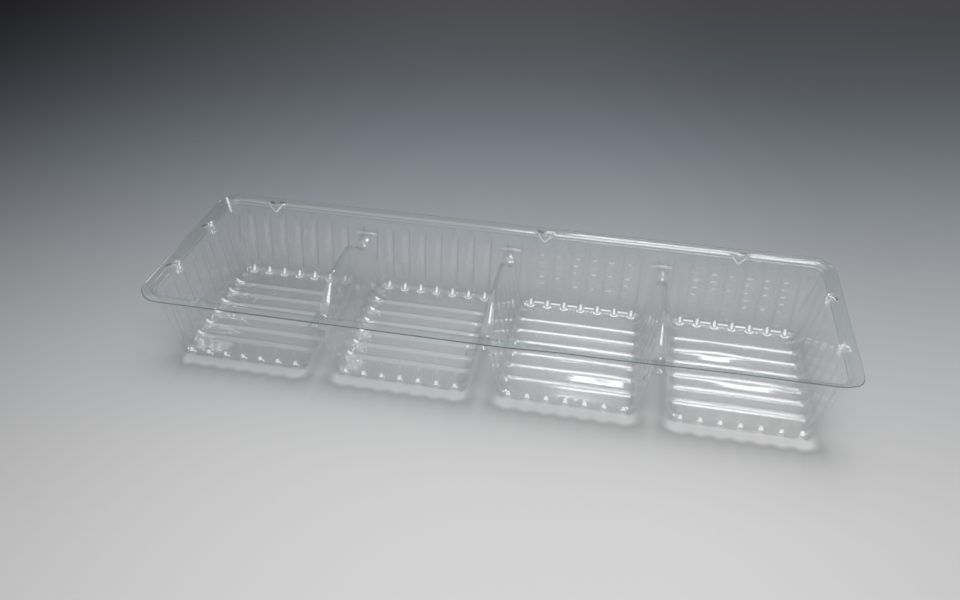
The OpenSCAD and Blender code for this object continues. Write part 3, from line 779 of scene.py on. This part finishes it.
def clear_sheet(name, highlighted):
    """Clear PET, vacuum formed: both skins of the thin sheet mirror a little, more at a slant by Schlick's
    formula, and what isn't mirrored goes straight on. The tint rises with the height z, since the sheet
    keeps its full gauge at the flange and is drawn thin at the feet. Painted shade lowers the light let
    through, and the upper skin also carries painted highlights in white."""
    material, tree = new_material(name)
    spot = add_node(tree, "ShaderNodeTexCoord").outputs["Object"]
    slant = add_node(tree, "ShaderNodeLayerWeight", inputs={"Blend": 0.5})
    fifth = calc(tree, "POWER", slant.outputs["Facing"], 5.0)
    share = calc(tree, "MULTIPLY_ADD", fifth, 1 - MIRRORED, MIRRORED)
    height = between(tree, axes(tree, spot)[2], 0.022, 0.031, 0.0, 1.0, "LINEAR")
    tint = colour_ramp(tree, height, ((0.0, linear("fefefe")), (1.0, linear("fbfdfc"))))
    # painted shade lowers the light let through in lines and over the flange's ends
    tint = scaled(tree, tint, painted_shade_share(tree, spot))
    passed = add_node(tree, "ShaderNodeBsdfTransparent", inputs={"Color": tint})
    gloss = add_node(tree, "ShaderNodeBsdfAnisotropic", inputs={"Color": linear("ffffff"), "Roughness": 0.1})
    sheet = add_node(tree, "ShaderNodeMixShader", inputs={0: share, 1: passed.outputs[0], 2: gloss.outputs[0]})
    # painted highlights: white diffuse and translucent light mixed into the upper skin where glints stand
    if highlighted:
        white = add_node(tree, "ShaderNodeBsdfDiffuse", inputs={"Color": linear("fafbfa")})
        through = add_node(tree, "ShaderNodeBsdfTranslucent", inputs={"Color": linear("fafbfa")})
        white = add_node(tree, "ShaderNodeAddShader", inputs={0: white.outputs[0], 1: through.outputs[0]})
        sheet = add_node(tree, "ShaderNodeMixShader",
                         inputs={0: painted_highlights(tree, spot), 1: sheet.outputs[0], 2: white.outputs[0]})
    add_node(tree, "ShaderNodeOutputMaterial", inputs={"Surface": sheet.outputs[0]})
    return material


def cut_edge():
    """The die-cut edge of the PET sheet: the cut face turns most of the light that runs along the sheet,
    so it looks dark grey-green from the front, with a faint gloss."""
    material, tree = new_material("clear PET sheet, die-cut edge")
    passed = add_node(tree, "ShaderNodeBsdfTransparent", inputs={"Color": linear("8b938f")})
    gloss = add_node(tree, "ShaderNodeBsdfAnisotropic", inputs={"Color": linear("ffffff"), "Roughness": 0.35})
    edge = add_node(tree, "ShaderNodeMixShader", inputs={0: 0.12, 1: passed.outputs[0], 2: gloss.outputs[0]})
    add_node(tree, "ShaderNodeOutputMaterial", inputs={"Surface": edge.outputs[0]})
    return material


def foot_distance(tree, at):
    """Distance in millimetres from the outline of the nearest cell's foot on the card, a rounded box, and
    below 0 inside it. The first cell's outline stands 2.2 mm further in at its left end."""
    dx = calc(tree, "ADD", calc(tree, "SUBTRACT", at.u, FOOT_X), between(tree, at.x, -118.0, -108.0, 2.2, 0.0))
    dy = calc(tree, "SUBTRACT", calc(tree, "ABSOLUTE", calc(tree, "ADD", at.y, FOOT_SHIFT)), FOOT_Y)
    outside = length(tree, calc(tree, "MAXIMUM", dx, 0.0), calc(tree, "MAXIMUM", dy, 0.0))
    inside = calc(tree, "MINIMUM", calc(tree, "MAXIMUM", dx, dy), 0.0)
    return calc(tree, "SUBTRACT", calc(tree, "ADD", outside, inside), FOOT_ROUND)


def foot_light(tree, spot):
    """What the tray's feet do to the light on the card, as a factor over the distance d from a foot's
    outline: past d = 0 a shade starts that fades with exp(-d / 6.5 mm), just inside the front edge the
    sheet throws a pale band, and the card under the cells is a little darker on the left and paler on the
    right. The front edge is scalloped like the ribs, by a cosine."""
    at = tray_places(tree, spot)
    front = falls(tree, at.y, -33.0, -26.0)
    wave = calc(tree, "COSINE", calc(tree, "MULTIPLY", at.u, 2 * math.pi / LONG_PITCH))
    d = calc(tree, "SUBTRACT", foot_distance(tree, at), product(tree, wave, front, SCALLOP))
    fade = calc(tree, "EXPONENT", calc(tree, "MULTIPLY", calc(tree, "MAXIMUM", d, 0.0), -1 / SHADE_FADE))
    shade = product(tree, fade, between(tree, at.y, -36.0, -26.0, SHADE_FRONT, SHADE_BACK),
                    rises(tree, d, -1.4, 1.8))
    ends = calc(tree, "ADD", between(tree, at.u, 18.0, 24.0, 0.06, 0.11),
                between(tree, at.x, 50.0, 110.0, 0.0, 0.1))
    band = product(tree, front, falls(tree, d, -1.8, 1.2), ends)
    inside = product(tree, between(tree, at.x, -100.0, 30.0, -0.08, 0.15), falls(tree, d, -6.0, -2.0))
    pale = calc(tree, "ADD", 1.0, calc(tree, "ADD", band, inside))
    return product(tree, calc(tree, "SUBTRACT", 1.0, shade), pale)


def painted_falloff_colour(tree, y):
    """The card's colour with painted light falloff over the place y along the view: each channel falls from the
    pale colour to the dark one by exp(-(distance past the start / reach) ** power), red first and blue last."""
    past = calc(tree, "MAXIMUM", calc(tree, "SUBTRACT", y, CARD_START), 0.0)
    channels = {}
    for axis, reach, pale, dark in zip("XYZ", CARD_REACH, linear(CARD_PALE), linear(CARD_DARK)):
        power = calc(tree, "POWER", calc(tree, "MULTIPLY", past, 1 / reach), CARD_POWER)
        share = calc(tree, "EXPONENT", calc(tree, "MULTIPLY", power, -1.0))
        channels[axis] = calc(tree, "MULTIPLY_ADD", share, float(pale - dark), float(dark))
    return add_node(tree, "ShaderNodeCombineXYZ", inputs=channels).outputs[0]


def table():
    """The ground under the tray: matt grey card with painted light falloff along the view, from pale in front to
    dark behind, to the left by a bell curve and to the right by a smoothstep."""
    material, tree = new_material("matt grey card")
    spot = add_node(tree, "ShaderNodeTexCoord").outputs["Object"]
    turned = add_node(tree, "ShaderNodeVectorRotate", {"rotation_type": "Z_AXIS"},
                      {"Vector": spot, "Angle": -VIEW_TURN})
    x, y, _ = axes(tree, scaled(tree, turned.outputs[0], 1000.0))
    # painted light falloff to the left and right, times the feet's painted shade and pale band
    level = product(tree, bell(tree, calc(tree, "MINIMUM", x, 0.0), 0.0, CARD_LEFT_FADE),
                    between(tree, x, 40.0, 200.0, 1.0, CARD_RIGHT), CARD_LEVEL, foot_light(tree, spot))
    body = add_node(tree, "ShaderNodeBsdfDiffuse", inputs={"Color": scaled(tree, painted_falloff_colour(tree, y), level)})
    add_node(tree, "ShaderNodeOutputMaterial", inputs={"Surface": body.outputs[0]})
    return material


def studio():
    """The room's light, even from side to side: over the angle from the front horizon over the zenith to
    the back one, bright above the camera and overhead and falling off to a dim back wall."""
    world = bpy.data.worlds.new("studio")
    world.use_nodes = True
    tree = world.node_tree
    tree.nodes.clear()
    _, y, z = axes(tree, add_node(tree, "ShaderNodeTexCoord").outputs["Generated"])
    angle = calc(tree, "ARCTAN2", z, calc(tree, "MULTIPLY", y, -1.0))
    stops = [(place, (*(level * tone for tone in ROOM_TONE), 1)) for place, level in ROOM_LEVELS]
    colour = colour_ramp(tree, between(tree, angle, 0.0, math.pi, 0.0, 1.0, "LINEAR"), stops, "EASE")
    light = add_node(tree, "ShaderNodeBackground", inputs={"Color": colour, "Strength": 1.0})
    add_node(tree, "ShaderNodeOutputWorld", inputs={"Surface": light.outputs[0]})
    return world


def area_light(name, at, to, size, power):
    """A rectangular white soft lamp at a place, turned to face another. Places and sizes in metres."""
    lamp = bpy.data.lights.new(name, "AREA")
    lamp.shape, lamp.size, lamp.size_y = "RECTANGLE", size[0], size[1]
    lamp.energy = power
    obj = bpy.data.objects.new(name, lamp)
    bpy.context.scene.collection.objects.link(obj)
    obj.location = at
    obj.rotation_euler = (Vector(to) - Vector(at)).to_track_quat("-Z", "Y").to_euler()
    return obj


scene = bpy.context.scene
points, faces, rim, kind = tray_mesh()
tray = mesh_object("tray_sheet", points, faces, rim)
# the upper skin carries the painted highlights, the lower one only the clear sheet
tray.data.materials.append(clear_sheet("clear PET sheet, vacuum formed, upper skin", True))
tray.data.materials.append(clear_sheet("clear PET sheet, vacuum formed, lower skin", False))
tray.data.materials.append(cut_edge())
tray.data.polygons.foreach_set("material_index", kind.astype(np.int32))
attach(tray, "root")
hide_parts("tray")

corners = np.array([[-1, -1, 0], [1, -1, 0], [1, 1, 0], [-1, 1, 0]]) * GROUND
ground = mesh_object("ground", corners, np.array([[0, 1, 2], [0, 2, 3]]))
ground.data.materials.append(table())

scene.world = studio()
area_light("softbox over the camera", (0.14, -0.47, 0.96), (0.05, 0.0, 0.0), (0.53, 0.30), 2.55)
area_light("strip lamp behind", (0.20, 0.80, 0.93), (0.06, 0.0, 0.0), (0.48, 0.14), 1.6)

camera = bpy.data.objects.new("camera", bpy.data.cameras.new("camera"))
scene.collection.objects.link(camera)
turn = Matrix.Rotation(ROLL, 3, "Z") @ Matrix.Rotation(TILT, 3, "X") @ Matrix.Rotation(YAW, 3, "Z")
camera.matrix_world = Matrix.Translation(CAMERA_AT) @ turn.transposed().to_4x4()
camera.data.sensor_width, camera.data.lens = SENSOR, LENS
camera.data.clip_start, camera.data.clip_end = 0.01, 20
scene.camera = camera
scene.view_settings.view_transform = "Standard"
scene.cycles.max_bounces = scene.cycles.transmission_bounces = scene.cycles.transparent_max_bounces = 32
scene.cycles.caustics_reflective = scene.cycles.caustics_refractive = False
